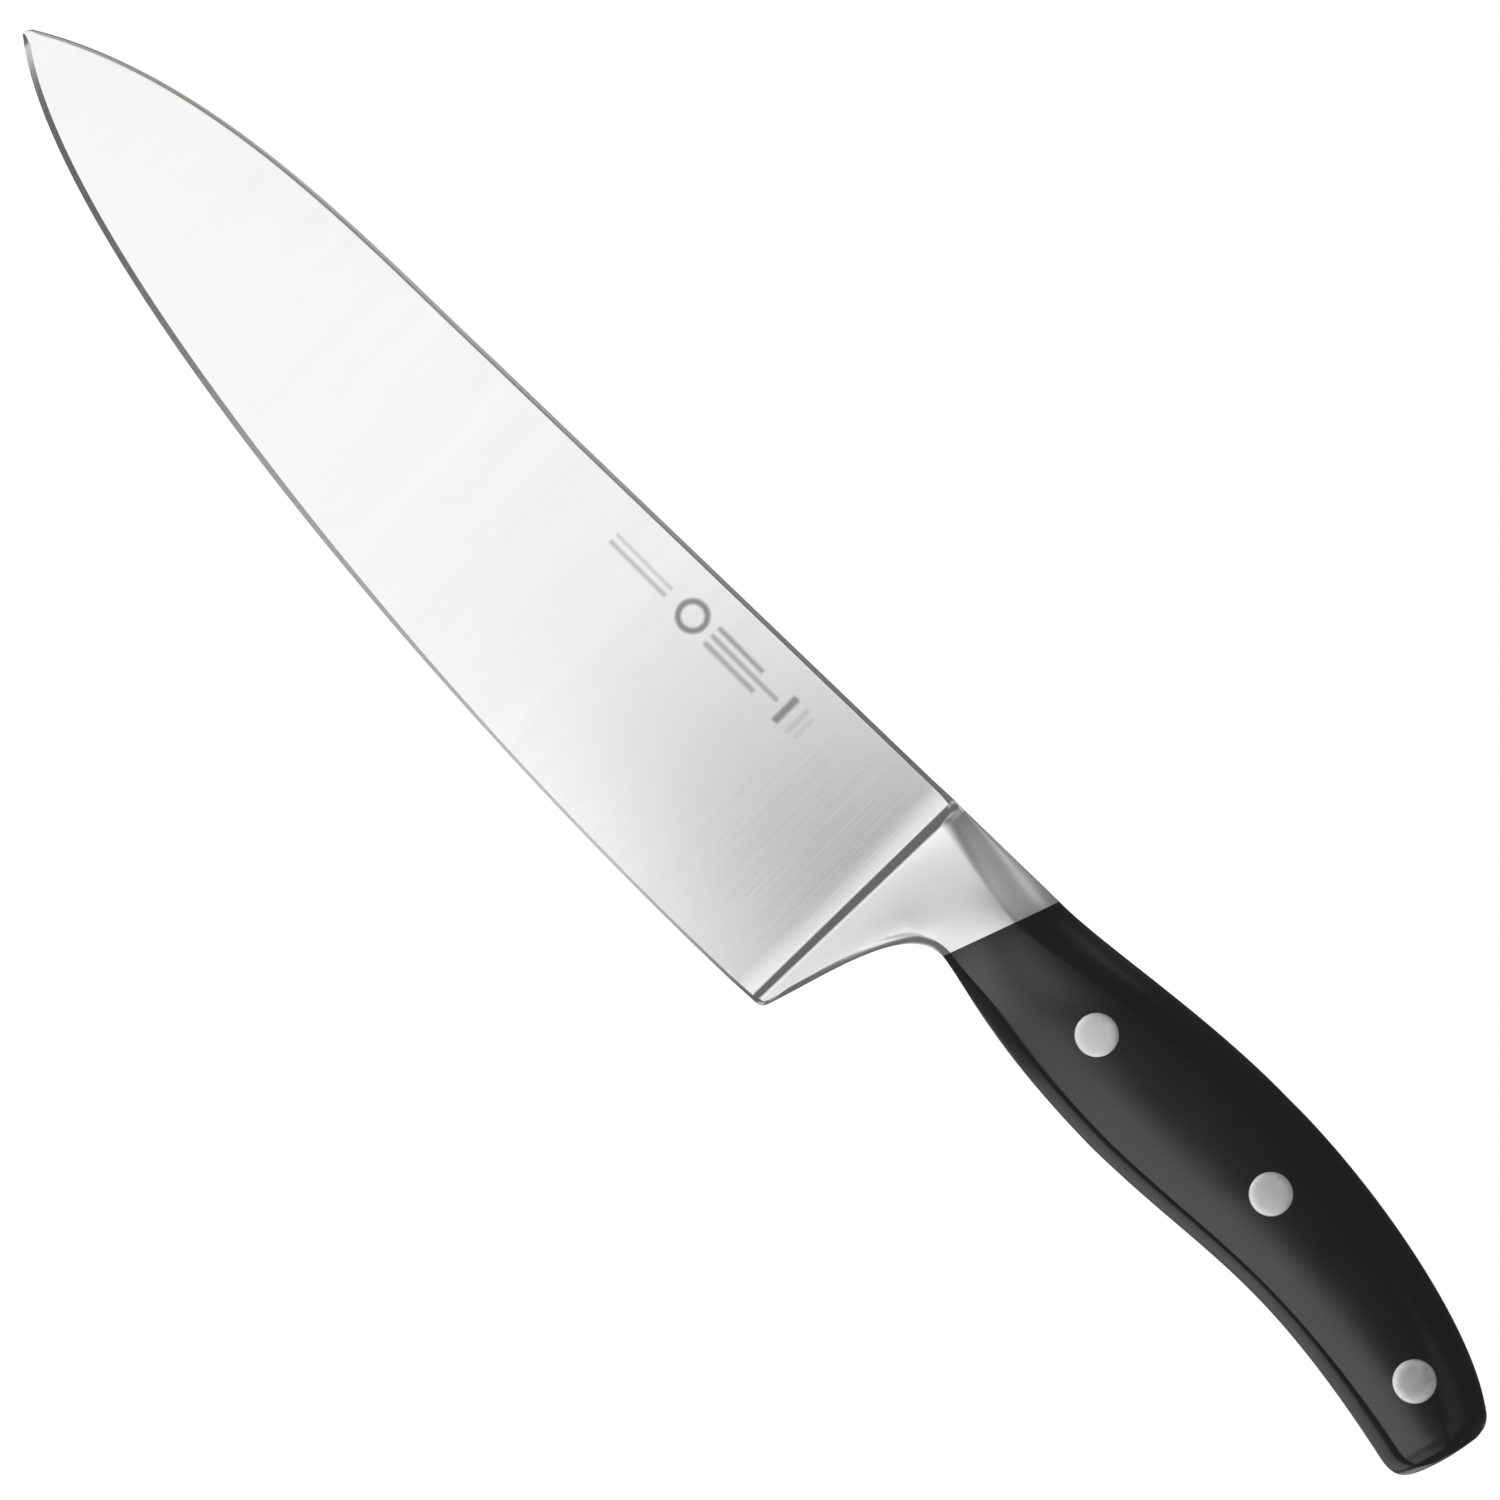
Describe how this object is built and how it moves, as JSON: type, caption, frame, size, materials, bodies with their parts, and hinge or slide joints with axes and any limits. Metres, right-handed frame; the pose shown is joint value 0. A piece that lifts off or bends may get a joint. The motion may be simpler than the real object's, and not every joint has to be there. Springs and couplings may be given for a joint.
{
  "type": "chef knife",
  "caption": "Forged chef knife with a full bolster, a full tang and a black riveted handle.",
  "frame": {"origin": "middle of the length and of the thickness, at the lowest point of the cutting edge", "axes": "+X from the tip to the butt, +Y towards the right scale, +Z from the cutting edge to the spine"},
  "size_m": [0.3402, 0.0184, 0.0526],
  "materials": {
    "blade_steel": "satin, ground across the blade",
    "handle_black": "satin moulded",
    "rivet_steel": "ground flush with the scales"
  },
  "bodies": {
    "root": {"forged_blade": "blade_steel", "left_scale": "handle_black", "right_scale": "handle_black", "front_rivet_sleeve": "rivet_steel", "front_rivet_pin": "rivet_steel", "middle_rivet_sleeve": "rivet_steel", "middle_rivet_pin": "rivet_steel", "rear_rivet_sleeve": "rivet_steel", "rear_rivet_pin": "rivet_steel"}
  },
  "joints": []
}
